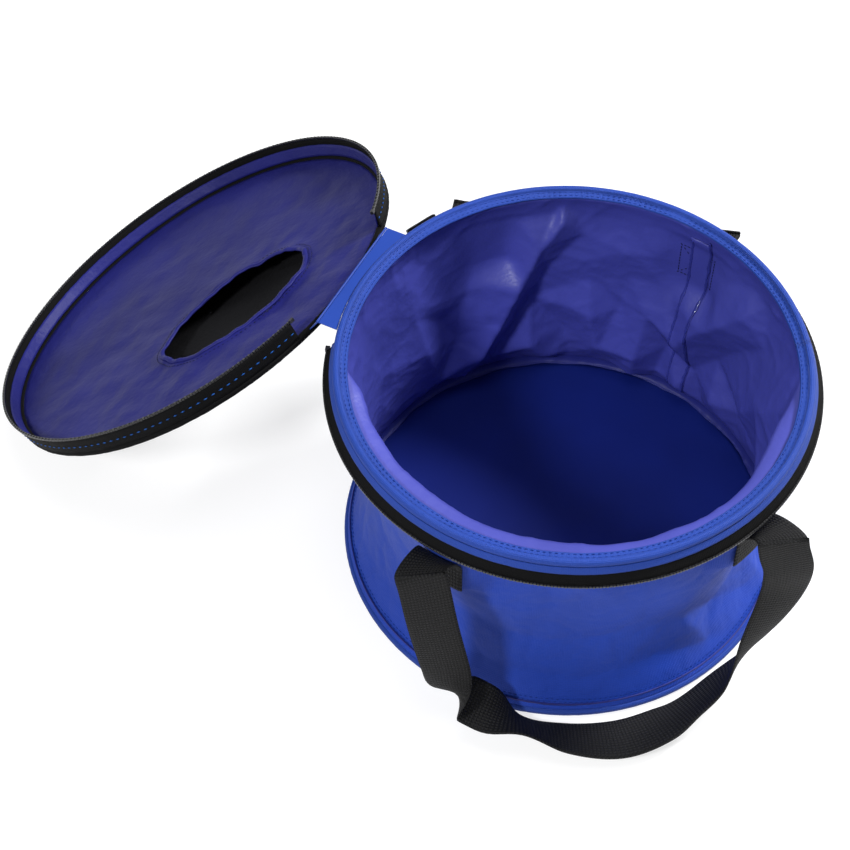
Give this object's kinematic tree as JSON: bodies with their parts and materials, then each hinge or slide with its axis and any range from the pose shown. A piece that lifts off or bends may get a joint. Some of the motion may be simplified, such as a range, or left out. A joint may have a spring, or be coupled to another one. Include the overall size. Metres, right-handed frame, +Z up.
{
  "type": "collapsible camp bucket",
  "caption": "Round cloth bucket on wire hoops that folds flat, with a zip-round lid with a hand hole, open on its cloth hinge, and webbing strap handles.",
  "frame": {"origin": "centre of the bucket's underside, on the ground", "axes": "+Z up; the front handle is centred on -Y; the lid hinge is on the left and towards the rear, at 146 degrees from +X"},
  "size_m": [0.5937, 0.5512, 0.2029],
  "materials": {
    "blue_oxford": "royal blue coated woven cloth",
    "violet_coating": "smooth violet-blue waterproof coating",
    "floor_blue": "smooth dark blue coated cloth",
    "black_webbing": "coarse black webbing and black cloth",
    "black_zip": "black zip tape with moulded teeth",
    "spring_steel": "spring steel wire",
    "slider_metal": "dark painted zip metal"
  },
  "bodies": {
    "rim": {"rim_hoop": "spring_steel", "rim_binding": "blue_oxford", "zip_tape_lower": "black_zip", "zip_teeth_lower": "black_zip", "zip_stop_lower_left": "slider_metal", "zip_stop_lower_right": "slider_metal", "handle_patch_front_left": "black_webbing", "handle_patch_front_right": "black_webbing", "handle_patch_rear_left": "black_webbing", "handle_patch_rear_right": "black_webbing", "hinge_strip_rim": "blue_oxford", "hinge_seam": "blue_oxford", "wall_cloth": "blue_oxford", "seam_tape": "violet_coating"},
    "base": {"base_hoop": "spring_steel", "base_binding": "blue_oxford", "floor_panel": "floor_blue"},
    "lid": {"lid_hoop": "spring_steel", "lid_binding": "black_webbing", "lid_liner": "violet_coating", "hole_hem": "violet_coating", "lid_cover": "black_webbing", "hinge_strip_lid": "blue_oxford", "zip_tape_upper": "black_zip", "zip_teeth_upper": "black_zip", "zip_stop_upper_left": "slider_metal", "zip_stop_upper_right": "slider_metal"},
    "slider": {"zip_slider": "slider_metal"},
    "pull": {"zip_pull": "slider_metal"},
    "handle_front": {"handle_front": "black_webbing"},
    "handle_rear": {"handle_rear": "black_webbing"}
  },
  "joints": [
    {"name": "collapse", "type": "slide", "parent": "rim", "child": "base", "axis": [0, 0, 1], "range_m": [0, 0.125], "deforming": ["wall_cloth", "seam_tape"]},
    {"name": "lid_hinge", "type": "hinge", "parent": "rim", "child": "lid", "pos_m": [-0.14384, 0.09702, 0.1995], "axis": [0.5592, 0.829, 0], "range_deg": [0, 213.7]},
    {"name": "slider_travel", "type": "hinge", "parent": "rim", "child": "slider", "pos_m": [0, 0, 0.1878], "axis": [0, 0, -1], "range_deg": [0, 315.6]},
    {"name": "pull_tab_swing", "type": "hinge", "parent": "slider", "child": "pull", "pos_m": [-0.09751, 0.14459, 0.1878], "axis": [0, 0, 1], "range_deg": [0, 100]},
    {"name": "handle_front_swing", "type": "hinge", "parent": "rim", "child": "handle_front", "pos_m": [0, -0.14248, 0.172], "axis": [-1, 0, 0], "range_deg": [0, 162]},
    {"name": "handle_rear_swing", "type": "hinge", "parent": "rim", "child": "handle_rear", "pos_m": [0.0421, 0.15714, 0.172], "axis": [0.9659, -0.2588, 0], "range_deg": [0, 162]}
  ]
}
